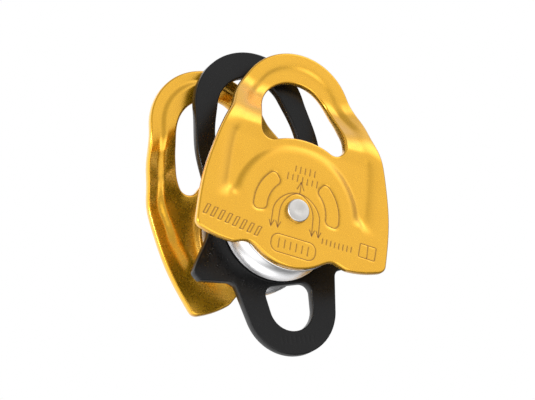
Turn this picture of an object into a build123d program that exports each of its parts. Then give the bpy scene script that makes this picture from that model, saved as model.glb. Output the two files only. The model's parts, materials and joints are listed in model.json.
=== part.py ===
"""Double rope pulley: two ball-bearing sheaves, one each side of a centre plate, inside two swinging side plates.

Origin: on the axle's axis, in the middle of the centre plate's thickness.
+Y runs along the axle towards the rear, +Z up the centre plate to its carabiner eye, +X to the right.
Each side plate is drawn upright, as if the pulley were closed, and is then swung to its resting angle.
"""

import os
from math import cos, radians, sin, sqrt

from build123d import *

# Stack along the axle, measured outwards from the middle of the centre plate
centre_plate_thick = 3.0
sheave_width = 12.2
sheave_gap = 0.35
side_plate_thick = 2.5
side_plate_inner = 14.5
running_gap = 0.05
head_height = 1.5

# How far each side plate is swung open from the closed pulley, about +Y
front_swing = 19.6
rear_swing = -20.8

# Sheave and rope groove
flange_radius = 17.6
tread_radius = 12.5
groove_radius = 5.5
rim_round = 0.25
sheave_lip_radius = 8.8

# Ball bearing, 8 x 19 x 6
bearing_bore_radius = 4.0
bearing_outer_radius = 9.5
bearing_width = 6.0
pitch_radius = 6.75
ball_radius = 1.5
ball_count = 9
race_play = 0.02
inner_ring_radius = 5.8
outer_ring_radius = 7.7
cage_inner_radius = 6.2
cage_outer_radius = 7.3
cage_half_width = 1.9
pocket_play = 0.06
seal_thick = 0.6
seal_recess = 0.1

# Axle and spacers
journal_radius = 3.0
head_radius = 3.57
head_round = 0.45
dimple_depth = 0.2
dimple_radius = 1.6
spacer_radius = 5.3

# Centre plate: heights from the axle and half widths, as (half width, height) where a point needs both
centre_eye_height = 37.0
centre_eye_radius = 18.4
centre_eye_blend = 84.0
centre_shoulder = (20.3, 26.0)
centre_waist = (19.8, 9.0)
wing_start = (22.2, -0.3)
wing_top = (29.6, -11.6)
wing_top_direction = (0.45, -1)
wing_bottom = (28.0, -14.2)
wing_root = (17.0, -15.9)
wing_tip_round = 1.4
wing_root_round = 2.6
lower_eye_height = -25.3
lower_eye_radius = 14.8
lower_eye_blend = 100.0
centre_plate_edge = 0.35

# Holes of the centre plate
centre_hole_height = 36.0
centre_hole_radius = 11.3
centre_hole_bottom = 21.5
centre_hole_half = 14.1
centre_hole_side = (13.5, 30.6)
centre_hole_blend = 72.0
lower_hole_height = -25.6
lower_hole_radius = 7.2
lower_hole_blend = 97.0
lower_hole_corner = (8.1, -18.4)
lower_hole_round = 3.0

# Side plate outline, drawn closed
lobe_radius = 17.5
lobe_angle = 33.0
notch = (14.0, -12.75)
foot = (19.0, -13.95)
foot_middle = (25.0, -13.3)
side_corner = (31.0, -11.4)
corner_round = 2.6
side_direction = (0.02, 1)
side_points = [(30.4, 5.5), (28.4, 15.5), (25.1, 26.0), (23.3, 30.0), (22.1, 34.0), (20.4, 38.0)]
side_eye_height = 35.8
side_eye_radius = 18.8
side_eye_blend = 60.0

# Side plate carabiner eye
side_hole_height = 33.1
side_hole_radius = 11.9
side_hole_bottom = 23.1
side_hole_half = 13.95
side_hole_side = (12.9, 32.6)
side_hole_blend = 60.0
hole_corner_round = 3.5

# Side plate pressing: the eye stands this far inwards of the body, through two bends
eye_inset = 10.0
bend_start = 23.0
bend_angle = 38.0
bend_radius = 6.5
valley_depth = 1.1
valley_tip = (22.2, 2.6)
valley_tip_direction = (1, 0.25)
valley_side = (24.5, 8.0)
valley_top_half = 21.0
valley_top_direction = (-0.35, 1)
dome_radius = 20.6

# For cuts: longer than any part, and a little way past a face
far = 80.0
past = 1.0

plate_half = centre_plate_thick / 2
sheave_centre = plate_half + sheave_gap + sheave_width / 2
journal_start = side_plate_inner - running_gap
head_start = side_plate_inner + side_plate_thick + running_gap


def disc(radius, low, high):
    """A solid cylinder on the Y axis, from low to high."""
    return Pos(0, low, 0) * Rot(-90, 0, 0) * extrude(Circle(radius), high - low)


def ring(outer, inner, low, high):
    """A flat ring or sleeve around the Y axis, from low to high."""
    return disc(outer, low, high) - disc(inner, low, high)


def turned(half_section):
    """Revolve a section drawn as radius across and distance along the axle up, about the Y axis."""
    return revolve(half_section, Axis.Y)


def plate_from(face, low, high):
    """Give a face drawn with X across and Z up its thickness along Y."""
    upright = Plane(origin=(0, high, 0), x_dir=(1, 0, 0), z_dir=(0, -1, 0))
    return extrude(upright * face, high - low)


def mirrored_face(edges):
    """Close half an outline, which starts and ends on the centre line, with its mirror image."""
    right = Curve() + edges
    return make_face(Curve() + [right, mirror(right, Plane.YZ)])


def polar(radius, angle_from_up, height=0.0):
    """A point at a radius about (0, height), with the angle measured from straight up."""
    angle = radians(angle_from_up)
    return (radius * sin(angle), height + radius * cos(angle))


def eye_hole(height, radius, blend, side_point, half_width, bottom_radius):
    """Carabiner eye: round top, sides easing out to round lower corners, bottom on a circle about the axle."""
    corner_across = half_width - hole_corner_round
    corner_reach = bottom_radius + hole_corner_round
    corner_up = sqrt(corner_reach**2 - corner_across**2)
    bottom_end = (
        corner_across * bottom_radius / corner_reach,
        corner_up * bottom_radius / corner_reach,
    )
    corner_end = (half_width, corner_up)
    lowest_turn = (
        corner_across + hole_corner_round * sin(radians(45)),
        corner_up - hole_corner_round * cos(radians(45)),
    )
    top_start = polar(radius, blend, height)
    half = [
        ThreePointArc((0, bottom_radius), on_circle(bottom_radius, bottom_end[0] / 2), bottom_end),
        ThreePointArc(bottom_end, lowest_turn, corner_end),
        Spline(corner_end, side_point, top_start, tangents=[(0, 1), polar(1, blend - 90)]),
        ThreePointArc(top_start, polar(radius, blend / 2, height), (0, height + radius)),
    ]
    return mirrored_face(half)


def on_circle(radius, across):
    """The upper point of a circle about the axle at a distance across."""
    return (across, sqrt(radius**2 - across**2))


def rounded(face, corner, radius):
    """Fillet the pair of outline corners at a point and its mirror image."""
    found = {(side * corner[0], corner[1]) for side in (-1, 1)}
    pair = [v for v in face.vertices() if (round(v.X, 3), round(v.Y, 3)) in found]
    return fillet(pair, radius)


def centre_outline():
    """Outer edge of the centre plate: eye above, a wing each side, round eye below."""
    lower_side = polar(lower_eye_radius, lower_eye_blend, lower_eye_height)
    eye_side = polar(centre_eye_radius, centre_eye_blend, centre_eye_height)
    half = [
        ThreePointArc(
            (0, centre_eye_height + centre_eye_radius),
            polar(centre_eye_radius, centre_eye_blend / 2, centre_eye_height),
            eye_side,
        ),
        Spline(
            [eye_side, centre_shoulder, centre_waist, wing_start, wing_top],
            tangents=[polar(1, 90 + centre_eye_blend), wing_top_direction],
        ),
        Line(wing_top, wing_bottom),
        Line(wing_bottom, wing_root),
        Line(wing_root, lower_side),
        ThreePointArc(
            lower_side,
            polar(lower_eye_radius, (lower_eye_blend + 180) / 2, lower_eye_height),
            (0, lower_eye_height - lower_eye_radius),
        ),
    ]
    face = mirrored_face(half)
    for tip in (wing_top, wing_bottom):
        face = rounded(face, tip, wing_tip_round)
    return rounded(face, wing_root, wing_root_round)


def lower_hole():
    """Lower attachment hole: nearly flat top with round corners, round bottom."""
    side = polar(lower_hole_radius, lower_hole_blend, lower_hole_height)
    half = [
        Line((0, lower_hole_corner[1]), lower_hole_corner),
        Line(lower_hole_corner, side),
        ThreePointArc(
            side,
            polar(lower_hole_radius, (lower_hole_blend + 180) / 2, lower_hole_height),
            (0, lower_hole_height - lower_hole_radius),
        ),
    ]
    return rounded(mirrored_face(half), lower_hole_corner, lower_hole_round)


def side_outline():
    """Outer edge of a side plate: eye above, wide body, and a round lobe over the sheave below."""
    lobe_end = polar(lobe_radius, 180 - lobe_angle)
    eye_start = polar(side_eye_radius, side_eye_blend, side_eye_height)
    half = [
        ThreePointArc((0, -lobe_radius), polar(lobe_radius, 180 - lobe_angle / 2), lobe_end),
        Spline(lobe_end, notch, foot, tangents=[polar(1, 90 - lobe_angle), (1, 0)]),
        ThreePointArc(foot, foot_middle, side_corner),
        Spline(
            [side_corner, *side_points, eye_start],
            tangents=[side_direction, polar(1, side_eye_blend - 90)],
        ),
        ThreePointArc(
            eye_start,
            polar(side_eye_radius, side_eye_blend / 2, side_eye_height),
            (0, side_eye_height + side_eye_radius),
        ),
    ]
    return rounded(mirrored_face(half), side_corner, corner_round)


def bent_edge(inwards):
    """One face of the bent sheet in side view, as edges in (along axle, height)."""
    start = (-side_plate_inner - side_plate_thick + inwards, -far)
    straight = Line(start, (start[0], bend_start))
    first = JernArc(straight @ 1, (0, 1), bend_radius + side_plate_thick - inwards, -bend_angle)
    bend_rise = 2 * (bend_radius + side_plate_thick / 2) * (1 - cos(radians(bend_angle)))
    slope_length = (eye_inset - bend_rise) / sin(radians(bend_angle))
    slope = PolarLine(first @ 1, slope_length, direction=first % 1)
    second = JernArc(slope @ 1, slope % 1, bend_radius + inwards, bend_angle)
    eye = Line(second @ 1, (Vector(second @ 1).X, far))
    return [straight, first, slope, second, eye]


def bent_sheet():
    """The bent sheet as wide as the plate and more, before its outline is cut."""
    outer = bent_edge(0)
    inner = bent_edge(side_plate_thick)
    ends = [Line(outer[0] @ 0, inner[0] @ 0), Line(outer[-1] @ 1, inner[-1] @ 1)]
    section = make_face(Curve() + outer + inner + ends)
    side_view = Plane(origin=(-far, 0, 0), x_dir=(0, 1, 0), z_dir=(1, 0, 0))
    return extrude(side_view * section, 2 * far)


def valley_face():
    """The crescent pressed inwards between the dome over the sheave and the raised rim."""
    top = (valley_top_half, bend_start)
    half = [
        Line((0, valley_tip[1]), valley_tip),
        Spline(valley_tip, valley_side, top, tangents=[valley_tip_direction, valley_top_direction]),
        Line(top, (0, bend_start)),
    ]
    return mirrored_face(half) - Circle(dome_radius)


def side_plate():
    """Front side plate, upright."""
    outer_face = -side_plate_inner - side_plate_thick
    valley = valley_face()
    hole = eye_hole(
        side_hole_height,
        side_hole_radius,
        side_hole_blend,
        side_hole_side,
        side_hole_half,
        side_hole_bottom,
    )
    plate = plate_from(side_outline(), outer_face - past, 0) & bent_sheet()
    plate += plate_from(valley, outer_face + valley_depth, -side_plate_inner + valley_depth)
    plate -= plate_from(valley, outer_face - past, outer_face + valley_depth)
    plate -= plate_from(hole, outer_face - past, past)
    return plate - disc(journal_radius + running_gap, outer_face - past, 0)


def centre_plate():
    """Black plate between the sheaves, with the upper eye, the axle hole and the lower hole."""
    hole = eye_hole(
        centre_hole_height,
        centre_hole_radius,
        centre_hole_blend,
        centre_hole_side,
        centre_hole_half,
        centre_hole_bottom,
    )
    slab = plate_from(centre_outline() - hole - lower_hole(), -plate_half, plate_half)
    rims = slab.faces().filter_by(Axis.Y).edges()
    return chamfer(rims, centre_plate_edge) - disc(bearing_bore_radius, -far, far)


def sheave():
    """Grooved wheel centred on the origin; the bearing goes in from the -Y side up to the lip."""
    half = sheave_width / 2
    groove_centre = tread_radius + groove_radius
    groove_half = sqrt(groove_radius**2 - (groove_centre - flange_radius) ** 2)
    wheel = disc(flange_radius, -half, half)
    groove = Pos(groove_centre, 0) * Circle(groove_radius)
    beyond = Pos(groove_centre + groove_radius / 2, 0) * Rectangle(groove_radius, 2 * groove_half)
    wheel -= turned(groove + beyond)
    circles = wheel.edges().filter_by(GeomType.CIRCLE)
    rims = [edge for edge in circles if edge.radius > flange_radius - rim_round]
    wheel = fillet(rims, rim_round)
    wheel -= disc(bearing_outer_radius, -half, bearing_width / 2)
    return wheel - disc(sheave_lip_radius, -half, half)


def race_groove():
    """The ring of space that the balls roll in."""
    return turned(Pos(pitch_radius, 0) * Circle(ball_radius + race_play))


def inner_ring():
    half = bearing_width / 2
    return ring(inner_ring_radius, bearing_bore_radius, -half, half) - race_groove()


def outer_ring():
    half = bearing_width / 2
    return ring(bearing_outer_radius, outer_ring_radius, -half, half) - race_groove()


def ball_places():
    return [Rot(0, i * 360 / ball_count, 0) * Pos(pitch_radius, 0, 0) for i in range(ball_count)]


def balls():
    return Compound(children=[place * Sphere(ball_radius) for place in ball_places()])


def cage():
    band = ring(cage_outer_radius, cage_inner_radius, -cage_half_width, cage_half_width)
    for place in ball_places():
        band -= place * Sphere(ball_radius + pocket_play)
    return band


def seal(side):
    """Rubber seal fixed in the outer ring, just clear of the inner ring; side is -1 or 1."""
    outside = bearing_width / 2 - seal_recess
    low, high = sorted([side * outside, side * (outside - seal_thick)])
    return ring(outer_ring_radius, inner_ring_radius + running_gap, low, high)


def axle():
    """Stepped pin with a formed head at each end."""
    pin = disc(bearing_bore_radius, -journal_start, journal_start)
    for side in (-1, 1):
        low, high = sorted([side * journal_start, side * head_start])
        pin += disc(journal_radius, low, high)
        low, high = sorted([side * head_start, side * (head_start + head_height)])
        head = disc(head_radius, low, high)
        crown = head.edges().sort_by(Axis.Y)[-1 if side > 0 else 0]
        head = fillet(crown, head_round)
        ball = (dimple_radius**2 + dimple_depth**2) / (2 * dimple_depth)
        dimple_centre = head_start + head_height - dimple_depth + ball
        pin += head
        pin -= Pos(0, side * dimple_centre, 0) * Sphere(ball)
    return pin


def write(name, shape):
    export_step(shape, f"parts/{name}.step")


os.makedirs("parts", exist_ok=True)

write("centre_plate", centre_plate())
write("axle", axle())

closed_plate = side_plate()
write("front_side_plate", Rot(0, front_swing, 0) * closed_plate)
write("rear_side_plate", Rot(0, rear_swing, 0) * mirror(closed_plate, Plane.XZ))

for end, side in (("front", -1), ("rear", 1)):
    middle = side * sheave_centre
    place = Pos(0, middle, 0)
    # the sheave's open side faces the side plate
    turn = Rot(0, 0, 0) if side < 0 else Rot(0, 0, 180)
    write(f"{end}_sheave", place * turn * sheave())
    write(f"{end}_bearing_outer_ring", place * outer_ring())
    write(f"{end}_bearing_inner_ring", place * inner_ring())
    write(f"{end}_bearing_balls", place * balls())
    write(f"{end}_bearing_cage", place * cage())
    write(f"{end}_bearing_outer_seal", place * seal(side))
    write(f"{end}_bearing_inner_seal", place * seal(-side))
    reach = bearing_width / 2
    low, high = sorted([side * plate_half, middle - side * reach])
    write(f"{end}_inner_spacer", ring(spacer_radius, bearing_bore_radius, low, high))
    low, high = sorted([middle + side * reach, side * journal_start])
    write(f"{end}_outer_spacer", ring(spacer_radius, bearing_bore_radius, low, high))
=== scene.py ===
"""Looks of the double rope pulley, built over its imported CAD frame.

The side plates, centre plate, sheaves and axle get detailed meshes that stand for their CAD nodes, with
pressed relief, rounded edges, engraved marks and turned surfaces. The bearings and spacers are the CAD nodes
themselves. Shapes are worked out in millimetres with X across and Z up, then written to the meshes in metres,
in the CAD frame.
"""

import json
import math

import bpy
import numpy as np
from mathutils import Matrix, Vector
from mathutils.geometry import delaunay_2d_cdt
from mathutils.kdtree import KDTree


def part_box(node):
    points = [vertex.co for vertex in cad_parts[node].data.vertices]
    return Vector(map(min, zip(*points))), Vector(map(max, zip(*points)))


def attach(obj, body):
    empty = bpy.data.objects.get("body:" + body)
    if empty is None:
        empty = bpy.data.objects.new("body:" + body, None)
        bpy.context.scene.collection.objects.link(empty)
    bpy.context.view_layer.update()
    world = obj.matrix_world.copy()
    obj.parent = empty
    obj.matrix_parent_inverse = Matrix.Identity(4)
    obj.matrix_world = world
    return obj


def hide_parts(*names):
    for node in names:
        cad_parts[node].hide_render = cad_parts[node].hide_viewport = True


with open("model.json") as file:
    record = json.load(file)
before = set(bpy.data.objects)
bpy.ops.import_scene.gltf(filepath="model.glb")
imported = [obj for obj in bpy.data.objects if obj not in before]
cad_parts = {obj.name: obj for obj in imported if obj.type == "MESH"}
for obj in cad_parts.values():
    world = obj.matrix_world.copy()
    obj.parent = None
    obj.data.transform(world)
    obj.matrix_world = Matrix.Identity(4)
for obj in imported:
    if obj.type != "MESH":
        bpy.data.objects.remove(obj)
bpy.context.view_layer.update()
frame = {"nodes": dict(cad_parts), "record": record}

MM = 0.001

# Side plate outline and eye, drawn closed: lengths in mm, angles in degrees, points as (across, height)
LOBE_RADIUS = 17.5
LOBE_ANGLE = 33.0
NOTCH = (14.0, -12.75)
FOOT = (19.0, -13.95)
FOOT_MIDDLE = (25.0, -13.3)
SIDE_CORNER = (31.0, -11.4)
SIDE_CORNER_DIRECTION = (0.02, 1)
CORNER_ROUND = 2.6
SIDE_POINTS = [(30.4, 5.5), (28.4, 15.5), (25.1, 26.0), (23.3, 30.0), (22.1, 34.0), (20.4, 38.0)]
SIDE_EYE_HEIGHT = 35.8
SIDE_EYE_RADIUS = 18.8
SIDE_EYE_BLEND = 60.0
SIDE_HOLE_HEIGHT = 33.1
SIDE_HOLE_RADIUS = 11.9
SIDE_HOLE_BOTTOM = 23.1
SIDE_HOLE_HALF = 13.95
SIDE_HOLE_SIDE = (12.9, 32.6)
SIDE_HOLE_BLEND = 60.0
HOLE_CORNER_ROUND = 3.5

# Side plate pressing
PLATE_THICK = 2.5
EYE_INSET = 10.0
BEND_MIDDLE = 25.9
FIRST_BEND = 4.5
SECOND_BEND = 2.6
INNER_SLOPE = 0.745
OUTER_SLOPE = 0.62
SLOPE_FROM = 13.0
SLOPE_TO = 22.0
VALLEY_DEPTH = 1.15
VALLEY_DEPTH_AT_EYE = 0.7
VALLEY_SHARE_IN_MIDDLE = 0.4
VALLEY_SHARE_ON_BEND = 0.3
RIM_WALL = 5.0
DOME_WALL = 3.2
EYE_WALL = 2.2
INNER_WALL = 4.6
INNER_WALL_AT_BEND = 2.3
CREASE_SOFTNESS = 0.8
DOME_RADIUS = 20.6
FINGER_TIP = 2.9
FINGER_BLEND = 1.4
FINGER_TIP_BLEND = 2.2
RIM_WIDTH = 5.2
RIM_WIDTH_AT_TIP = 8.3
RIM_SIDE_BLEND = 2.0

# Where the pressing changes, as (from, to): distances across for the middle, heights for the others
MIDDLE_CHANGE = (6.0, 17.0)
RIM_CHANGE = (0.0, 24.0)
INNER_WALL_CHANGE = (9.0, 18.0)
BEND_CHANGE = (20.0, 25.0)
EYE_CHANGE = (30.0, 36.0)
EYE_WALL_CHANGE = (28.0, 38.0)

# Side plate edge and bore
PLATE_EDGE = 0.6
BORE_RADIUS = 3.05

# Centre plate outline and holes
CENTRE_EYE_HEIGHT = 37.0
CENTRE_EYE_RADIUS = 18.4
CENTRE_EYE_BLEND = 84.0
CENTRE_SHOULDER = (20.3, 26.0)
CENTRE_WAIST = (19.8, 9.0)
WING_START = (22.2, -0.3)
WING_TOP = (29.6, -11.6)
WING_TOP_DIRECTION = (-0.45, 1)
WING_BOTTOM = (28.0, -14.2)
WING_ROOT = (17.0, -15.9)
WING_TIP_ROUND = 1.4
WING_ROOT_ROUND = 2.6
LOWER_EYE_HEIGHT = -25.3
LOWER_EYE_RADIUS = 14.8
LOWER_EYE_BLEND = 100.0
CENTRE_HOLE_HEIGHT = 36.0
CENTRE_HOLE_RADIUS = 11.3
CENTRE_HOLE_BOTTOM = 21.5
CENTRE_HOLE_HALF = 14.1
CENTRE_HOLE_SIDE = (13.5, 30.6)
CENTRE_HOLE_BLEND = 72.0
LOWER_HOLE_HEIGHT = -25.6
LOWER_HOLE_RADIUS = 7.2
LOWER_HOLE_BLEND = 97.0
LOWER_HOLE_CORNER = (8.1, -18.4)
LOWER_HOLE_ROUND = 3.0
CENTRE_BORE = 4.0
CENTRE_EDGE = 0.32

# Sheaves
TREAD_RADIUS = 12.5
GROOVE_RADIUS = 5.5
RIM_ROUND = 0.3
SEAT_ROUND = 0.3
BEARING_SEAT = 9.5
SEAT_DEPTH = 3.0
LIP_RADIUS = 8.8

# Axle
PIN_RADIUS = 4.0
JOURNAL_RADIUS = 3.0
HEAD_RADIUS = 3.57
HEAD_HEIGHT = 1.5
HEAD_GAP = 0.1
HEAD_ROUND = 0.45
HEAD_TURNS = np.radians([0, 22, 45, 68, 90])
HEAD_CENTRE_RADIUS = 0.02
DIMPLE_RADIUS = 2.2
DIMPLE_DEPTH = 0.2

# Mesh fineness
EDGE_TURNS = np.radians([0, 30, 60, 90])
EDGE_MARGIN = 1.25
CONTOUR_STEP = 0.4
GRID_STEP = 0.45
MARK_STEP = 0.25
DISTANCE_STEP = 0.06
SIDE_STEPS = 240
CENTRE_STEPS = 200
GROOVE_STEPS = 40
LATHE_STEPS = 180
BLOCK_SIZE = 2000
SLOPE_STEP = 0.05
TINY = 1e-12
MERGE_DISTANCE = 1e-6
SHARP_ANGLE = math.radians(50)

# Engraved marks. A row of strokes is (start, end, count, height), and an arrow is (barb, spread).
MARK_WIDTH = 0.5
MARK_DEPTH = 0.14
UPPER_STROKES = [((-1.9, 13.3), (4.4, 13.1), 5, 1.5), ((-4.2, 10.4), (5.5, 9.9), 7, 1.5)]
SIDE_STROKES = ((9.3, -7.0), (18.9, -7.5), 8, 1.4)
BAR_PLACES = np.linspace((-28.4, -6.4), (-11.6, -9.1), 8)
BAR_WIDTH = 1.0
BAR_HEIGHT = 3.0
BAR_LEAN = 1.1
FRAMED_STROKES = ((-4.6, -11.0), (5.0, -11.4), 6, 2.2)
LOWER_STROKES = ((-5.2, -35.1), (5.2, -35.7), 8, 1.7)
ARCH_SIZES = ((7.7, 5.7), (5.5, 5.5))
ARCH_SHOULDER = (0.72, 0.55)
ARCH_START = -1.5
ARCH_FOOT = -6.4
ARCH_LEAN = 0.1
ARCH_END_DIRECTION = (0.02, -1)
ARCH_ARROW = (1.7, 0.75)
ANCHOR_LINE = [(0.3, 5.8), (0.4, 9.4)]
ANCHOR_ARROW = (2.2, 1.0)

# Engraved frames: (middle, width, height, turn in degrees, corner round)
LONG_FRAME = ((0.2, -11.2), 14.6, 5.6, -2, 2.4)
SMALL_FRAME = ((24.3, -6.8), 5.4, 4.2, -3, 0.3)
SMALL_FRAME_MIDDLE = ((24.3, -4.8), (24.3, -8.8))

# Sunk kidney-shaped panels: radii from the axle, angles in degrees from straight up
KIDNEY_INNER = 9.7
KIDNEY_OUTER = 14.0
KIDNEY_MIDDLE = 68.0
KIDNEY_HALF = 31.5
KIDNEY_ROUND = 1.6
KIDNEY_WALL = 1.1
KIDNEY_DEPTH = 0.2

# Soft screens of the studio: degrees right of the front, degrees up, inner and outer half angle, strength.
# A negative strength is a dark flag. Lamps are (name, degrees right, degrees up, distance, size, power).
AMBIENT = 0.42
SCREENS = [
    (27, 12, 12, 50, 0.52),
    (52, 37, 6, 25, 0.8),
    (66, 17, 8, 34, 0.18),
    (102, 44, 10, 36, 0.42),
    (-4, -30, 6, 26, 1.7),
    (-80, -40, 20, 48, 0.9),
    (85, -42, 15, 60, -0.26),
    (212, 18, 20, 75, 0.85),
]
LAMPS = [("key", 54, 41, 1.6, 0.6, 0.8), ("edge", -64, 8, 1.6, 0.25, 14.0)]
INDIRECT_CLAMP = 1.5
GLOSSY_BLUR = 2.0
FLOOR_SIZE = 4.0
FLOOR_HEIGHT = -0.3

# Materials
TURNED_STRETCH = 0.55
COAT_ROUGHNESS = 0.2
ROUGH_PATCHES = 6

# Camera, in degrees and metres
CAMERA_TURN = math.radians(27.52)
CAMERA_RISE = math.radians(-12.24)
CAMERA_ROLL = math.radians(-11.56)
CAMERA_AIM = Vector((0, 0, 0.00848))
CAMERA_DISTANCE = 0.76493
CAMERA_LENS = 169.75
SENSOR_WIDTH = 36.0


# ---------------------------------------------------------------- outlines


def polar(radius, angle_from_up, height=0.0):
    """A point at a radius about (0, height), with the angle in degrees from straight up."""
    angle = np.radians(angle_from_up)
    return np.stack([radius * np.sin(angle), height + radius * np.cos(angle)], -1)


def arc(radius, start, end, height=0.0, steps=40):
    return polar(radius, np.linspace(start, end, steps), height)


def arc_through(first, middle, last, steps=24):
    """Arc through three points."""
    a, b, c = (np.array(p, float) for p in (first, middle, last))
    rows = 2 * np.array([b - a, c - a])
    centre = np.linalg.solve(rows, [b @ b - a @ a, c @ c - a @ a])
    turns = [math.atan2(*(p - centre)[::-1]) for p in (a, b, c)]
    turns = np.unwrap(turns)
    swept = np.linspace(turns[0], turns[2], steps)
    return centre + np.linalg.norm(a - centre) * np.stack([np.cos(swept), np.sin(swept)], -1)


def spline(points, start_direction, end_direction, steps=100):
    """Smooth curve through points with given end directions, spaced by chord length."""
    knots = np.array(points, float)
    chords = np.linalg.norm(np.diff(knots, axis=0), axis=1)
    places = np.r_[0, np.cumsum(chords)]
    count = len(knots)
    matrix = np.eye(count)
    slopes = np.zeros((count, 2))
    for row, direction in ((0, start_direction), (-1, end_direction)):
        slopes[row] = np.array(direction, float) / np.linalg.norm(direction)
    for i in range(1, count - 1):
        before, after = chords[i - 1], chords[i]
        matrix[i, i - 1 : i + 2] = [1 / before, 2 / before + 2 / after, 1 / after]
        slopes[i] = 3 * ((knots[i] - knots[i - 1]) / before**2 + (knots[i + 1] - knots[i]) / after**2)
    slopes = np.linalg.solve(matrix, slopes)
    along = np.linspace(0, places[-1], steps)
    piece = np.clip(np.searchsorted(places, along, side="right") - 1, 0, count - 2)
    length = chords[piece][:, None]
    t = (along[:, None] - places[piece][:, None]) / length
    return (
        (2 * t**3 - 3 * t**2 + 1) * knots[piece]
        + (t**3 - 2 * t**2 + t) * length * slopes[piece]
        + (3 * t**2 - 2 * t**3) * knots[piece + 1]
        + (t**3 - t**2) * length * slopes[piece + 1]
    )


def joined(curves):
    """Chain curves that share their end points."""
    rows = [curves[0]] + [curve[1:] for curve in curves[1:]]
    return np.vstack(rows)


def cut_back(curve, distance):
    """The curve without its last stretch of a given length, ending exactly there."""
    lengths = np.r_[0, np.cumsum(np.linalg.norm(np.diff(curve, axis=0), axis=1))]
    keep = lengths[-1] - distance
    last = np.array([np.interp(keep, lengths, curve[:, k]) for k in (0, 1)])
    return np.vstack([curve[lengths < keep], last])


def round_corner(first, second, radius, steps=10):
    """Join two curves that meet in a corner by a round of that radius."""
    into = first[-1] - first[-2]
    out = second[1] - second[0]
    into, out = into / np.linalg.norm(into), out / np.linalg.norm(out)
    half_turn = math.acos(np.clip(into @ out, -1, 1)) / 2
    back = radius * math.tan(half_turn)
    first = cut_back(first, back)
    second = cut_back(second[::-1], back)[::-1]
    handle = 4 / 3 * math.tan(half_turn / 2) * radius
    t = np.linspace(0, 1, steps)[:, None]
    a, b, c, d = first[-1], first[-1] + into * handle, second[0] - out * handle, second[0]
    bend = (1 - t) ** 3 * a + 3 * t * (1 - t) ** 2 * b + 3 * t**2 * (1 - t) * c + t**3 * d
    return joined([first, bend, second])


def line(start, end, steps=8):
    return np.linspace(np.array(start, float), np.array(end, float), steps)


def closed(half):
    """Close the right half of an outline, drawn upwards, with its mirror image; runs anticlockwise."""
    left = half[::-1] * (-1, 1)
    return np.vstack([half, left[1:-1]])


def circle(radius, steps=48):
    turns = np.linspace(0, 2 * math.pi, steps, endpoint=False)
    return radius * np.stack([np.cos(turns), np.sin(turns)], -1)


def side_outline():
    lobe = arc(LOBE_RADIUS, 180, 180 - LOBE_ANGLE)
    neck = spline([lobe[-1], NOTCH, FOOT], polar(1, 90 - LOBE_ANGLE), (1, 0))
    foot = arc_through(FOOT, FOOT_MIDDLE, SIDE_CORNER)
    eye = arc(SIDE_EYE_RADIUS, SIDE_EYE_BLEND, 0, SIDE_EYE_HEIGHT)
    ends = polar(1, SIDE_EYE_BLEND - 90)
    side = spline([SIDE_CORNER, *SIDE_POINTS, eye[0]], SIDE_CORNER_DIRECTION, ends, SIDE_STEPS)
    return closed(joined([lobe, neck, round_corner(foot, side, CORNER_ROUND), eye]))


def eye_hole(height, radius, blend, side_point, half_width, bottom_radius):
    """Carabiner eye: round top, sides easing out to round corners, bottom on a circle about the axle."""
    reach = bottom_radius + HOLE_CORNER_ROUND
    across = half_width - HOLE_CORNER_ROUND
    centre = np.array([across, math.sqrt(reach**2 - across**2)])
    lean = math.degrees(math.asin(across / reach))
    bottom = arc(bottom_radius, 0, lean)
    corner = centre + arc(HOLE_CORNER_ROUND, 180 + lean, 90)
    top = arc(radius, blend, 0, height)
    side = spline([corner[-1], side_point, top[0]], (0, 1), polar(1, blend - 90))
    return closed(joined([bottom, corner, side, top]))


def side_hole():
    return eye_hole(
        SIDE_HOLE_HEIGHT,
        SIDE_HOLE_RADIUS,
        SIDE_HOLE_BLEND,
        SIDE_HOLE_SIDE,
        SIDE_HOLE_HALF,
        SIDE_HOLE_BOTTOM,
    )


def centre_hole():
    return eye_hole(
        CENTRE_HOLE_HEIGHT,
        CENTRE_HOLE_RADIUS,
        CENTRE_HOLE_BLEND,
        CENTRE_HOLE_SIDE,
        CENTRE_HOLE_HALF,
        CENTRE_HOLE_BOTTOM,
    )


def centre_outline():
    eye = arc(CENTRE_EYE_RADIUS, CENTRE_EYE_BLEND, 0, CENTRE_EYE_HEIGHT)
    points = [WING_TOP, WING_START, CENTRE_WAIST, CENTRE_SHOULDER, eye[0]]
    side = spline(points, WING_TOP_DIRECTION, polar(1, CENTRE_EYE_BLEND - 90), CENTRE_STEPS)
    lower = arc(LOWER_EYE_RADIUS, 180, LOWER_EYE_BLEND, LOWER_EYE_HEIGHT)
    under = round_corner(line(lower[-1], WING_ROOT), line(WING_ROOT, WING_BOTTOM), WING_ROOT_ROUND)
    tip = round_corner(under, line(WING_BOTTOM, WING_TOP), WING_TIP_ROUND)
    return closed(joined([lower, round_corner(tip, side, WING_TIP_ROUND), eye]))


def lower_hole():
    bottom = arc(LOWER_HOLE_RADIUS, 180, LOWER_HOLE_BLEND, LOWER_HOLE_HEIGHT)
    side = line(bottom[-1], LOWER_HOLE_CORNER)
    top = line(LOWER_HOLE_CORNER, (0, LOWER_HOLE_CORNER[1]))
    return closed(joined([bottom, round_corner(side, top, LOWER_HOLE_ROUND)]))


# ---------------------------------------------------------------- measuring


def smoothstep(low, high, value):
    t = np.clip((value - low) / (high - low), 0, 1)
    return t * t * (3 - 2 * t)


def smooth_min(a, b, blend):
    """The lower of two distances, rounded where they cross."""
    share = np.clip(0.5 + 0.5 * (b - a) / blend, 0, 1)
    return b * (1 - share) + a * share - blend * share * (1 - share)


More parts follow.
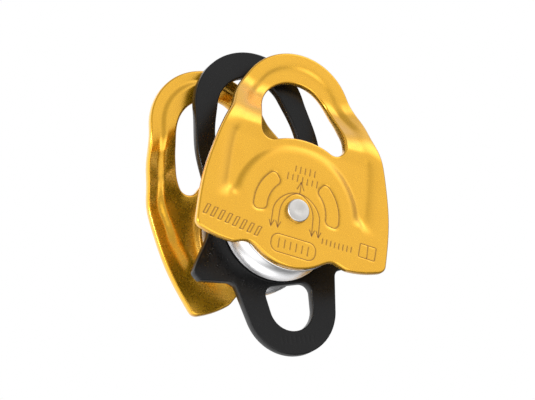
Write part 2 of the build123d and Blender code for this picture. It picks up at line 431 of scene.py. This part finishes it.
def distance_to(points, lines):
    """Distance from each point to the nearest of some polylines."""
    dense = np.vstack([spaced(path, DISTANCE_STEP) for path in lines])
    tree = KDTree(len(dense))
    for i, (across, up) in enumerate(dense.tolist()):
        tree.insert((across, up, 0), i)
    tree.balance()
    return np.array([tree.find((across, up, 0))[2] for across, up in points.tolist()])


def inside(points, loop):
    """True for points inside a closed loop."""
    ends = np.roll(loop, -1, axis=0)
    found = []
    for block in np.array_split(points, max(1, len(points) // BLOCK_SIZE)):
        x, y = block[:, :1], block[:, 1:]
        crosses = (loop[:, 1] > y) != (ends[:, 1] > y)
        rise = ends[:, 1] - loop[:, 1]
        rise = np.where(rise == 0, TINY, rise)
        at = loop[:, 0] + (y - loop[:, 1]) * (ends[:, 0] - loop[:, 0]) / rise
        found.append(((x < at) & crosses).sum(1) % 2 == 1)
    return np.concatenate(found)


def ring_closed(loop):
    return np.vstack([loop, loop[:1]])


def evenly(loop, step):
    """Space a closed loop's points evenly."""
    path = ring_closed(loop)
    lengths = np.r_[0, np.cumsum(np.linalg.norm(np.diff(path, axis=0), axis=1))]
    places = np.linspace(0, lengths[-1], max(16, round(lengths[-1] / step)), endpoint=False)
    return np.stack([np.interp(places, lengths, path[:, k]) for k in (0, 1)], -1)


def spaced(path, step):
    """Points every step along an open polyline."""
    lengths = np.r_[0, np.cumsum(np.linalg.norm(np.diff(path, axis=0), axis=1))]
    places = np.linspace(0, lengths[-1], max(2, math.ceil(lengths[-1] / step) + 1))
    return np.stack([np.interp(places, lengths, path[:, k]) for k in (0, 1)], -1)


def into_material(loop):
    """Unit direction into the material at each point of a loop that keeps the material on its left."""
    along = np.roll(loop, -1, axis=0) - np.roll(loop, 1, axis=0)
    along /= np.linalg.norm(along, axis=1)[:, None]
    return np.stack([-along[:, 1], along[:, 0]], -1)


# ---------------------------------------------------------------- sheet parts


def mesh_object(name, vertices, faces, attributes=None):
    """A smooth-shaded mesh object from points in millimetres."""
    mesh = bpy.data.meshes.new(name)
    mesh.from_pydata((np.asarray(vertices) * MM).tolist(), [], faces)
    for key, values in (attributes or {}).items():
        mesh.attributes.new(key, "FLOAT", "POINT").data.foreach_set("value", np.asarray(values, np.float32))
    mesh.update()
    mesh.shade_smooth()
    made = bpy.data.objects.new(name, mesh)
    bpy.context.scene.collection.objects.link(made)
    return made


def engraving(points, marks):
    """How deep the engraved lines are at each point, 0 to 1."""
    if not marks:
        return np.zeros(len(points))
    return np.clip(1 - distance_to(points, marks) / (MARK_WIDTH / 2), 0, 1)


def mark_points(marks):
    """Points along the engraved lines: the bottom of the groove and both its edges."""
    rows = []
    for path in marks:
        middle = spaced(path, MARK_STEP)
        along = np.gradient(middle, axis=0)
        across = np.stack([-along[:, 1], along[:, 0]], -1) / np.linalg.norm(along, axis=1)[:, None]
        rows += [middle, middle + across * MARK_WIDTH / 2, middle - across * MARK_WIDTH / 2]
    return np.vstack(rows) if rows else np.zeros((0, 2))


def thinned(points, gap):
    """Drop points that share a small cell with an earlier one."""
    cells = np.floor(points / gap).astype(int)
    first = np.unique(cells, axis=0, return_index=True)[1]
    return points[np.sort(first)]


def sheet(name, outline, holes, outer, inner, edge, marks, place):
    """A plate with rounded edges.

    Outer and inner give each face's distance along the axle, and place moves it all.
    """
    loops = [evenly(outline, CONTOUR_STEP)] + [evenly(hole[::-1], CONTOUR_STEP) for hole in holes]
    insets = list(edge * (1 - np.cos(EDGE_TURNS))) + [edge * EDGE_MARGIN]
    drops = list(edge * (1 - np.sin(EDGE_TURNS))) + [0.0]
    rings = []
    for inset, fall in zip(insets, drops):
        for loop in loops:
            rings.append((loop + inset * into_material(loop), fall))

    low, high = loops[0].min(0), loops[0].max(0)
    across = np.arange(low[0], high[0], GRID_STEP)
    up = np.arange(low[1], high[1], GRID_STEP * math.sqrt(3) / 2)
    grid = np.stack(np.meshgrid(across, up), -1)
    grid[1::2, :, 0] += GRID_STEP / 2
    grid = grid.reshape(-1, 2)
    borders = [ring_closed(loop) for loop in loops]
    grid = grid[inside(grid, loops[0])]
    for loop in loops[1:]:
        grid = grid[~inside(grid, loop)]
    grid = grid[distance_to(grid, borders) > edge * EDGE_MARGIN + GRID_STEP / 2]
    if marks:
        grid = grid[distance_to(grid, marks) > MARK_WIDTH / 2 + GRID_STEP / 3]
    grid = np.vstack([grid, thinned(mark_points(marks), MARK_STEP / 3)])

    flat = np.vstack([ring for ring, _ in rings] + [grid])
    drop = np.concatenate([np.full(len(ring), fall) for ring, fall in rings] + [np.zeros(len(grid))])
    count = len(flat)
    links, start = [], 0
    for loop in loops:
        links += [(start + i, start + (i + 1) % len(loop)) for i in range(len(loop))]
        start += len(loop)
    found = delaunay_2d_cdt([Vector(p) for p in flat], links, [], 0, MERGE_DISTANCE, True)
    if len(found[0]) != count:
        raise ValueError(f"{name}: the outline crosses itself")
    triangles = np.array(found[2])
    middles = flat[triangles].mean(1)
    kept = inside(middles, loops[0])
    for loop in loops[1:]:
        kept &= ~inside(middles, loop)
    triangles = triangles[kept]
    corners = flat[triangles]
    first, second = corners[:, 1] - corners[:, 0], corners[:, 2] - corners[:, 0]
    clockwise = first[:, 0] * second[:, 1] - first[:, 1] * second[:, 0] < 0
    triangles[clockwise] = triangles[clockwise][:, ::-1]

    depth = engraving(flat, marks)
    front = np.column_stack([flat[:, 0], outer(flat) + drop + MARK_DEPTH * depth, flat[:, 1]])
    back = np.column_stack([flat[:, 0], inner(flat) - drop, flat[:, 1]])
    faces = triangles.tolist() + (triangles[:, ::-1] + count).tolist()
    faces += [(a, a + count, b + count, b) for a, b in links]
    points = place(np.vstack([front, back]))
    if np.linalg.det(place(np.eye(3)) - place(np.zeros((3, 3)))) < 0:
        faces = [face[::-1] for face in faces]
    return mesh_object(name, points, faces, {"engraved": np.r_[depth, np.zeros(count)]})


def bend_height(points):
    """How far the side plate's eye end has come inwards: a convex bend, a slope and a hollow bend."""
    across, up = np.abs(points[:, 0]), points[:, 1]
    slope = INNER_SLOPE + (OUTER_SLOPE - INNER_SLOPE) * smoothstep(SLOPE_FROM, SLOPE_TO, across)
    risen = -smooth_min(BEND_MIDDLE - up, np.zeros(len(points)), FIRST_BEND) * slope
    return smooth_min(risen, np.full(len(points), EYE_INSET), SECOND_BEND)


def steepness(points):
    """How much longer the way through the sheet is, measured along the axle, where the sheet slopes."""
    run = np.array([0, SLOPE_STEP])
    rise = bend_height(points + run) - bend_height(points - run)
    return np.sqrt(1 + (rise / (2 * SLOPE_STEP)) ** 2)


def valley_reach(points, outline):
    """Distance into the valley pressed between the dome over the sheave and the raised rim.

    It ends in a finger on each side. Also tells how far a point is on the rim's side of it, 0 to 1.
    """
    rim_width = RIM_WIDTH_AT_TIP + (RIM_WIDTH - RIM_WIDTH_AT_TIP) * smoothstep(*RIM_CHANGE, points[:, 1])
    rim = distance_to(points, [ring_closed(outline)]) - rim_width
    dome = np.hypot(points[:, 0], points[:, 1]) - DOME_RADIUS
    tip = points[:, 1] - FINGER_TIP
    within = smooth_min(smooth_min(rim, dome, FINGER_BLEND), tip, FINGER_TIP_BLEND)
    return within, smoothstep(-RIM_SIDE_BLEND, RIM_SIDE_BLEND, dome - rim)


def valley_depth(points, share_on_bend):
    """Deep in the fingers, shallow above the axle, and only a share of it where the sheet bends."""
    across, up = np.abs(points[:, 0]), points[:, 1]
    at_eye = smoothstep(*EYE_CHANGE, up)
    body = VALLEY_SHARE_IN_MIDDLE + (1 - VALLEY_SHARE_IN_MIDDLE) * smoothstep(*MIDDLE_CHANGE, across)
    bend = 1 - (1 - share_on_bend) * smoothstep(*BEND_CHANGE, up) * (1 - at_eye)
    return bend * (VALLEY_DEPTH * body * (1 - at_eye) + VALLEY_DEPTH_AT_EYE * at_eye)


def pressed_outside(points, outline):
    """Relief of the outer face: a sharp crease, and a wall that rounds off widely onto the dome and rim."""
    reach, rim_side = valley_reach(points, outline)
    within = smooth_min(reach, np.zeros(len(points)), CREASE_SOFTNESS)
    wall = DOME_WALL + (RIM_WALL - DOME_WALL) * rim_side
    wall += (EYE_WALL - wall) * smoothstep(*EYE_WALL_CHANGE, points[:, 1])
    return valley_depth(points, VALLEY_SHARE_ON_BEND) * np.clip(1 + within / wall, 0, 1) ** 2


def pressed_inside(points, outline):
    """Relief of the inner face, where the sheet's thickness leaves a narrower wall."""
    wall = INNER_WALL + (INNER_WALL_AT_BEND - INNER_WALL) * smoothstep(*INNER_WALL_CHANGE, points[:, 1])
    return valley_depth(points, 1.0) * smoothstep(-wall, 0, valley_reach(points, outline)[0])


def kidney(points):
    """How deep the kidney-shaped panel on each side of the axle is sunk."""
    radius = np.hypot(points[:, 0], points[:, 1])
    angle = np.degrees(np.arctan2(np.abs(points[:, 0]), points[:, 1]))
    out = np.abs(radius - (KIDNEY_INNER + KIDNEY_OUTER) / 2)
    out = out - (KIDNEY_OUTER - KIDNEY_INNER) / 2 + KIDNEY_ROUND
    beyond = np.radians(np.abs(angle - KIDNEY_MIDDLE) - KIDNEY_HALF) * radius + KIDNEY_ROUND
    edge = np.hypot(np.maximum(out, 0), np.maximum(beyond, 0))
    edge += np.minimum(np.maximum(out, beyond), 0) - KIDNEY_ROUND
    return KIDNEY_DEPTH * smoothstep(KIDNEY_WALL, 0, edge)


def swing_of(end):
    """Angle a side plate is swung open by, from the place of its eye in the record."""
    mounts = {mount["name"]: mount for mount in frame["record"]["mounts"]}
    across, _, up = mounts[f"{end}_plate_eye"]["pos_m"]
    return math.atan2(across, up)


def side_plate(end, marks):
    """A pressed side plate, swung to its resting angle."""
    node = f"{end}_side_plate"
    outline = side_outline()
    low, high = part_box(node)
    mirrored = -1 if end == "rear" else 1
    outer_face = min(low.y, -high.y) / MM
    angle = swing_of(end)

    def outer(points):
        return outer_face + bend_height(points) + pressed_outside(points, outline) + kidney(points)

    def inner(points):
        face = outer_face + PLATE_THICK * steepness(points)
        return face + bend_height(points) + pressed_inside(points, outline)

    def place(points):
        across, along, up = points.T
        turned = across * math.cos(angle) + up * math.sin(angle)
        raised = up * math.cos(angle) - across * math.sin(angle)
        return np.column_stack([turned, mirrored * along, raised])

    holes = [side_hole(), circle(BORE_RADIUS)]
    made = sheet(f"{end}_side_plate_look", outline, holes, outer, inner, PLATE_EDGE, marks, place)
    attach(made, f"{end}_plate")
    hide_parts(node)
    made.data.materials.append(gold)
    return made


def centre_plate(marks):
    """The black plate between the sheaves."""
    low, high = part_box("centre_plate")

    def outer(points):
        return np.full(len(points), low.y / MM)

    def inner(points):
        return np.full(len(points), high.y / MM)

    holes = [centre_hole(), lower_hole(), circle(CENTRE_BORE)]
    outline = centre_outline()

    def stay(points):
        return points

    made = sheet("centre_plate_look", outline, holes, outer, inner, CENTRE_EDGE, marks, stay)
    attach(made, "centre")
    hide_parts("centre_plate")
    made.data.materials.append(black)
    return made


# ---------------------------------------------------------------- marks


def arrow(path, barb, spread):
    """A line with two barbs at its last point."""
    path = np.array(path, float)
    back = path[-2] - path[-1]
    back /= np.linalg.norm(back)
    side = np.array([-back[1], back[0]])
    lines = [path]
    for sign in (-1, 1):
        lines.append(np.array([path[-1] + back * barb + sign * side * spread, path[-1]]))
    return lines


def rope_arches():
    """The two rope paths over the axle, with arrowheads at both lower ends, and the arrow to the anchor."""
    lines = []
    for half_width, top in ARCH_SIZES:
        shoulder = (half_width * ARCH_SHOULDER[0], top * ARCH_SHOULDER[1])
        over = spline([(0, top), shoulder, (half_width, ARCH_START)], (1, 0), ARCH_END_DIRECTION, 30)
        side = joined([over, line(over[-1], (half_width + ARCH_LEAN, ARCH_FOOT), 3)])
        for mirrored in (-1, 1):
            lines += arrow(side * (mirrored, 1), *ARCH_ARROW)
    lines += arrow(ANCHOR_LINE, *ANCHOR_ARROW)
    return lines


def ticks(start, end, count, height):
    """A row of short upright strokes, where the original carries print."""
    start, end = np.array(start, float), np.array(end, float)
    along = (end - start) / np.linalg.norm(end - start)
    up = np.array([-along[1], along[0]]) * height / 2
    return [np.array([p - up, p + up]) for p in np.linspace(start, end, count)]


def frame_line(centre, width, height, turn, corner):
    """A plain rounded frame."""
    lower = arc(corner, 180, 90) + (width / 2 - corner, corner - height / 2)
    upper = arc(corner, 90, 0) + (width / 2 - corner, height / 2 - corner)
    bottom = line((0, -height / 2), lower[0], 3)
    top = line(upper[-1], (0, height / 2), 3)
    loop = ring_closed(closed(joined([bottom, lower, upper, top])))
    angle = math.radians(turn)
    rows = np.array([[math.cos(angle), math.sin(angle)], [-math.sin(angle), math.cos(angle)]])
    return loop @ rows + np.array(centre)


def leaning_bar(centre, width, height, lean):
    """The outline of a plain slanted bar."""
    lower = [(-width - lean, -height), (width - lean, -height)]
    upper = [(width + lean, height), (lean - width, height)]
    return ring_closed(np.array(lower + upper) / 2) + centre


def kidney_line(side):
    """The line round the kidney-shaped panel; side is -1 or 1."""
    low, high = KIDNEY_MIDDLE - KIDNEY_HALF, KIDNEY_MIDDLE + KIDNEY_HALF
    first = arc(KIDNEY_OUTER, KIDNEY_MIDDLE, high)
    inner = arc(KIDNEY_INNER, high, low)
    last = arc(KIDNEY_OUTER, low, KIDNEY_MIDDLE)
    path = round_corner(first, line(first[-1], inner[0]), KIDNEY_ROUND)
    path = round_corner(path, inner, KIDNEY_ROUND)
    path = round_corner(path, line(inner[-1], last[0]), KIDNEY_ROUND)
    return round_corner(path, last, KIDNEY_ROUND) * (side, 1)


def front_marks():
    marks = rope_arches() + [kidney_line(-1), kidney_line(1)]
    for row in [*UPPER_STROKES, SIDE_STROKES]:
        marks += ticks(*row)
    marks += [leaning_bar(place, BAR_WIDTH, BAR_HEIGHT, BAR_LEAN) for place in BAR_PLACES]
    marks += [frame_line(*LONG_FRAME)]
    marks += ticks(*FRAMED_STROKES)
    marks += [frame_line(*SMALL_FRAME), line(*SMALL_FRAME_MIDDLE, 2)]
    return marks


def lower_marks():
    return ticks(*LOWER_STROKES)


# ---------------------------------------------------------------- turned parts


def lathe(name, profile, middle):
    """Turn a closed section, given as (radius, along the axle), about the axle."""
    section = np.array(profile, float)
    turns = np.linspace(0, 2 * math.pi, LATHE_STEPS, endpoint=False)
    radius, along = section.T
    rows = []
    for turn in turns:
        rows.append(np.column_stack([radius * math.cos(turn), along + middle, radius * math.sin(turn)]))
    count = len(section)
    faces = []
    for i in range(LATHE_STEPS):
        here, there = i * count, (i + 1) % LATHE_STEPS * count
        for k in range(count):
            after = (k + 1) % count
            faces.append((here + k, here + after, there + after, there + k))
    return mesh_object(name, np.vstack(rows), faces)


def rounded_section(corners, steps=5):
    """A closed section from corners given as (radius, along, round)."""
    points = np.array([corner[:2] for corner in corners], float)
    rows = []
    for i, (across, along, radius) in enumerate(corners):
        before, here, after = points[i - 1], points[i], points[(i + 1) % len(points)]
        if radius == 0:
            rows.append(here[None, :])
            continue
        rows.append(round_corner(line(before, here, 2), line(here, after, 2), radius, steps)[1:-1])
    return np.vstack(rows)


def facing_out(made):
    """Flip a closed mesh whose faces point inwards."""
    mesh = made.data
    volume = 0.0
    for face in mesh.polygons:
        corners = [mesh.vertices[i].co for i in face.vertices]
        for b, c in zip(corners[1:], corners[2:]):
            volume += corners[0].dot(b.cross(c))
    if volume < 0:
        mesh.flip_normals()
    mesh.set_sharp_from_angle(angle=SHARP_ANGLE)


def sheave(end):
    """A grooved wheel, its open side towards the side plate."""
    node = f"{end}_sheave"
    low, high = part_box(node)
    middle = (low.y + high.y) / 2 / MM
    half = (high.y - low.y) / 2 / MM
    flange = (high.x - low.x) / 2 / MM
    groove_middle = TREAD_RADIUS + GROOVE_RADIUS
    lift = math.acos((groove_middle - flange) / GROOVE_RADIUS)
    sweep = np.linspace(-lift, lift, GROOVE_STEPS)
    groove = np.column_stack([groove_middle - GROOVE_RADIUS * np.cos(sweep), GROOVE_RADIUS * np.sin(sweep)])
    seat = [(BEARING_SEAT, SEAT_DEPTH, 0), (BEARING_SEAT, -half, SEAT_ROUND)]
    lip = [(LIP_RADIUS, half, SEAT_ROUND), (LIP_RADIUS, SEAT_DEPTH, 0)]
    low_side = rounded_section(seat + [(flange, -half, RIM_ROUND), (flange, -half / 2, 0)])
    high_side = rounded_section([(flange, half / 2, 0), (flange, half, RIM_ROUND)] + lip)
    section = np.vstack([low_side[:-1], groove, high_side[1:]])
    if end == "rear":
        section = section * (1, -1)
    made = lathe(f"{end}_sheave_look", section, middle)
    facing_out(made)
    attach(made, f"{end}_wheel")
    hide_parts(node)
    made.data.materials.append(turned_aluminium)


def axle():
    """The pin with its two formed heads, each with a shallow dimple."""
    low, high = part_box("axle")
    reach = high.y / MM
    head_start = reach - HEAD_HEIGHT
    journal = head_start - PLATE_THICK - HEAD_GAP
    across = np.linspace(HEAD_CENTRE_RADIUS, DIMPLE_RADIUS, 8)
    dish = reach - DIMPLE_DEPTH * (0.5 + 0.5 * np.cos(math.pi * across / DIMPLE_RADIUS))
    crown_radius = HEAD_RADIUS - HEAD_ROUND * (1 - np.sin(HEAD_TURNS))
    crown = np.column_stack([crown_radius, reach - HEAD_ROUND * (1 - np.cos(HEAD_TURNS))])
    neck = [(HEAD_RADIUS, head_start), (JOURNAL_RADIUS, head_start)]
    neck += [(JOURNAL_RADIUS, journal), (PIN_RADIUS, journal)]
    end = np.vstack([np.column_stack([across, dish]), crown, neck])
    section = np.vstack([end, (end * (1, -1))[::-1]])
    made = lathe("axle_look", section, 0.0)
    facing_out(made)
    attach(made, "centre")
    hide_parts("axle")
    made.data.materials.append(axle_steel)


# ---------------------------------------------------------------- materials


def add(tree, kind, inputs=None, **settings):
    """Add a shader node; an input is either a value or another node's output."""
    node = tree.nodes.new(kind)
    for key, value in settings.items():
        setattr(node, key, value)
    for key, value in (inputs or {}).items():
        if isinstance(value, bpy.types.NodeSocket):
            tree.links.new(value, node.inputs[key])
        else:
            node.inputs[key].default_value = value
    return node


def spread(tree, value, low, high, from_low=0.3, from_high=0.7):
    """Map a value to a range."""
    inputs = {"Value": value, "From Min": from_low, "From Max": from_high, "To Min": low, "To Max": high}
    return add(tree, "ShaderNodeMapRange", inputs).outputs["Result"]


def blended(tree, share, first, second):
    """Mix two colours."""
    node = add(tree, "ShaderNodeMix", data_type="RGBA")
    for index, value in ((0, share), (6, first), (7, second)):
        if isinstance(value, bpy.types.NodeSocket):
            tree.links.new(value, node.inputs[index])
        else:
            node.inputs[index].default_value = value
    return node.outputs[2]


def noise(tree, place, scale, detail=3.0):
    inputs = {"Vector": place, "Scale": scale, "Detail": detail}
    return add(tree, "ShaderNodeTexNoise", inputs).outputs["Fac"]


def ring_lines(tree, place, per_metre):
    """Fine lines round the axle, as a turning tool leaves them."""
    parts = add(tree, "ShaderNodeSeparateXYZ", {"Vector": place}).outputs
    flat = add(tree, "ShaderNodeCombineXYZ", {"X": parts["X"], "Y": parts["Z"]}).outputs[0]
    radius = add(tree, "ShaderNodeVectorMath", {0: flat}, operation="LENGTH").outputs["Value"]
    along = add(tree, "ShaderNodeMath", {0: radius, 1: parts["Y"]}, operation="ADD").outputs[0]
    away = add(tree, "ShaderNodeMath", {0: radius, 1: parts["Y"]}, operation="SUBTRACT").outputs[0]
    spot = add(tree, "ShaderNodeCombineXYZ", {"X": along, "Y": away}).outputs[0]
    return noise(tree, spot, per_metre, 4.0)


def surface(
    name,
    colour,
    deep_colour=None,
    metallic=1.0,
    roughness=(0.25, 0.35),
    grain=9000.0,
    grain_height=0.00001,
    patches=120.0,
    rings=None,
    edge_round=0.0,
    mark_and_groove_shade_colour=None,
    coat=0.0,
    shine=0.5,
):
    """A procedural finish: patchy tone and roughness, fine grain, turned lines or rounded edges, and a darker
    colour in the engraved lines that is partly the marks' own colour and partly painted shade in the grooves.
    """
    made = bpy.data.materials.new(name)
    made.use_nodes = True
    tree = made.node_tree
    shader = tree.nodes["Principled BSDF"]
    place = add(tree, "ShaderNodeTexCoord").outputs["Object"]
    patch = noise(tree, place, patches)
    base = blended(tree, spread(tree, patch, 0.0, 1.0), (*(deep_colour or colour), 1), (*colour, 1))
    # Engraved lines are darkened: partly the marks' own dark colour, partly painted shade standing in for the
    # shade inside the grooves.
    if mark_and_groove_shade_colour:
        depth = add(tree, "ShaderNodeAttribute", attribute_name="engraved").outputs["Fac"]
        base = blended(tree, depth, base, (*mark_and_groove_shade_colour, 1))
    rough = noise(tree, place, patches * ROUGH_PATCHES)
    fine = noise(tree, place, grain)
    height = fine
    if rings:
        height = ring_lines(tree, place, rings)
        rough = height
        tangent = add(tree, "ShaderNodeTangent", direction_type="RADIAL", axis="Y").outputs[0]
        tree.links.new(tangent, shader.inputs["Tangent"])
        shader.inputs["Anisotropic"].default_value = TURNED_STRETCH
    bump = add(tree, "ShaderNodeBump", {"Height": height, "Strength": 1.0, "Distance": grain_height})
    if edge_round:
        bevel = add(tree, "ShaderNodeBevel", {"Radius": edge_round}, samples=4)
        tree.links.new(bevel.outputs[0], bump.inputs["Normal"])
    tree.links.new(base, shader.inputs["Base Color"])
    tree.links.new(spread(tree, rough, *roughness), shader.inputs["Roughness"])
    tree.links.new(bump.outputs[0], shader.inputs["Normal"])
    shader.inputs["Metallic"].default_value = metallic
    shader.inputs["Specular IOR Level"].default_value = shine
    shader.inputs["Coat Weight"].default_value = coat
    shader.inputs["Coat Roughness"].default_value = COAT_ROUGHNESS
    return made


gold = surface(
    "gold_anodised",
    (0.91, 0.475, 0.017),
    deep_colour=(0.89, 0.455, 0.014),
    metallic=0.85,
    roughness=(0.24, 0.31),
    grain=5200.0,
    grain_height=0.0000001,
    # darker engraved lines: the marks' own colour plus painted shade in the grooves
    mark_and_groove_shade_colour=(0.18, 0.06, 0.004),
    coat=0.9,
)
black = surface(
    "black_anodised",
    (0.0055, 0.0055, 0.0058),
    deep_colour=(0.004, 0.004, 0.0043),
    metallic=0.0,
    roughness=(0.26, 0.32),
    grain_height=0.0000015,
    # darker engraved lines: the marks' own colour plus painted shade in the grooves
    mark_and_groove_shade_colour=(0.004, 0.004, 0.004),
    shine=0.3,
)
turned_aluminium = surface(
    "machined_aluminium",
    (0.90, 0.90, 0.91),
    roughness=(0.22, 0.36),
    grain_height=0.000006,
    rings=9000.0,
)
axle_steel = surface(
    "axle_steel",
    (0.74, 0.72, 0.69),
    deep_colour=(0.64, 0.62, 0.60),
    roughness=(0.3, 0.42),
    rings=6000.0,
)
spacer_steel = surface(
    "spacer_steel",
    (0.60, 0.60, 0.61),
    roughness=(0.25, 0.4),
    rings=9000.0,
    edge_round=0.0002,
)
bearing_steel = surface(
    "bearing_steel",
    (0.62, 0.62, 0.64),
    roughness=(0.14, 0.22),
    rings=12000.0,
    edge_round=0.0002,
)
ball_steel = surface("ball_steel", (0.80, 0.80, 0.82), roughness=(0.05, 0.1), grain_height=0.000001)
cage_nylon = surface(
    "cage_nylon",
    (0.55, 0.50, 0.40),
    metallic=0.0,
    roughness=(0.45, 0.6),
    grain_height=0.00002,
    edge_round=0.0001,
)
seal_rubber = surface(
    "seal_rubber",
    (0.03, 0.03, 0.03),
    metallic=0.0,
    roughness=(0.5, 0.65),
    grain_height=0.00003,
    edge_round=0.0001,
)
floor_paper = surface("floor_paper", (0.85, 0.85, 0.85), metallic=0.0, roughness=(0.7, 0.9), patches=4.0)

NODE_FINISHES = {
    "ring": bearing_steel,
    "balls": ball_steel,
    "cage": cage_nylon,
    "seal": seal_rubber,
    "spacer": spacer_steel,
}


# ---------------------------------------------------------------- light and camera


def toward(turn, rise):
    """Unit direction: turn is degrees to the right of the front, rise is degrees above the horizon."""
    turn, rise = math.radians(turn), math.radians(rise)
    return Vector((math.sin(turn) * math.cos(rise), -math.cos(turn) * math.cos(rise), math.sin(rise)))


def studio():
    """White for the camera, and for reflections a soft room that is bright where the screens stand."""
    world = bpy.data.worlds.new("studio")
    world.use_nodes = True
    tree = world.node_tree
    tree.nodes.clear()
    direction = add(tree, "ShaderNodeTexCoord").outputs["Generated"]
    total = None
    for turn, rise, inner, outer, strength in SCREENS:
        both = {0: direction, 1: toward(turn, rise)}
        along = add(tree, "ShaderNodeVectorMath", both, operation="DOT_PRODUCT").outputs["Value"]
        edges = {"From Min": math.cos(math.radians(outer)), "From Max": math.cos(math.radians(inner))}
        edges.update({"Value": along, "To Min": 0.0, "To Max": strength})
        part = add(tree, "ShaderNodeMapRange", edges, interpolation_type="SMOOTHSTEP").outputs["Result"]
        base = AMBIENT if total is None else total
        total = add(tree, "ShaderNodeMath", {0: part, 1: base}, operation="ADD").outputs[0]
    room = add(tree, "ShaderNodeBackground", {"Color": total})
    white = add(tree, "ShaderNodeBackground", {"Color": (1, 1, 1, 1)})
    seen = add(tree, "ShaderNodeLightPath").outputs["Is Camera Ray"]
    mixed = add(tree, "ShaderNodeMixShader", {0: seen, 1: room.outputs[0], 2: white.outputs[0]})
    output = add(tree, "ShaderNodeOutputWorld")
    tree.links.new(mixed.outputs[0], output.inputs["Surface"])
    bpy.context.scene.world = world


def lamp(name, turn, rise, distance, size, power):
    """A soft lamp aimed at the pulley."""
    data = bpy.data.lights.new(name, "AREA")
    data.energy = power
    data.size = size
    made = bpy.data.objects.new(name, data)
    made.location = toward(turn, rise) * distance
    made.rotation_euler = (-made.location).to_track_quat("-Z", "Y").to_euler()
    bpy.context.scene.collection.objects.link(made)


def camera():
    """The view from the front left and below, with the camera rolled a little."""
    ahead = Vector(
        (
            math.sin(CAMERA_TURN) * math.cos(CAMERA_RISE),
            math.cos(CAMERA_TURN) * math.cos(CAMERA_RISE),
            -math.sin(CAMERA_RISE),
        )
    )
    level = ahead.cross(Vector((0, 0, 1))).normalized()
    right = level * math.cos(CAMERA_ROLL) + level.cross(ahead) * math.sin(CAMERA_ROLL)
    up = right.cross(ahead)
    data = bpy.data.cameras.new("camera")
    data.sensor_width = SENSOR_WIDTH
    data.lens = CAMERA_LENS
    made = bpy.data.objects.new("camera", data)
    turned = Matrix((right, up, -ahead)).transposed().to_4x4()
    made.matrix_world = Matrix.Translation(CAMERA_AIM - ahead * CAMERA_DISTANCE) @ turned
    bpy.context.scene.collection.objects.link(made)
    bpy.context.scene.camera = made


def floor():
    """A pale floor well below the camera, which looks up at the pulley."""
    half = FLOOR_SIZE / 2
    corners = [(x * half, y * half, FLOOR_HEIGHT) for x, y in ((-1, -1), (1, -1), (1, 1), (-1, 1))]
    mesh = bpy.data.meshes.new("floor")
    mesh.from_pydata(corners, [], [(0, 1, 2, 3)])
    made = bpy.data.objects.new("floor", mesh)
    mesh.materials.append(floor_paper)
    bpy.context.scene.collection.objects.link(made)
    made.visible_glossy = False


# ---------------------------------------------------------------- build

side_plate("front", front_marks())
side_plate("rear", [])
centre_plate(lower_marks())
for end in ("front", "rear"):
    sheave(end)
axle()
for name, node in frame["nodes"].items():
    for ending, finish in NODE_FINISHES.items():
        if name.endswith(ending):
            node.data.materials.clear()
            node.data.materials.append(finish)

studio()
for settings in LAMPS:
    lamp(*settings)
camera()
floor()
scene = bpy.context.scene
scene.view_settings.view_transform = "Standard"
scene.cycles.sample_clamp_indirect = INDIRECT_CLAMP
scene.cycles.blur_glossy = GLOSSY_BLUR
scene.cycles.caustics_reflective = False
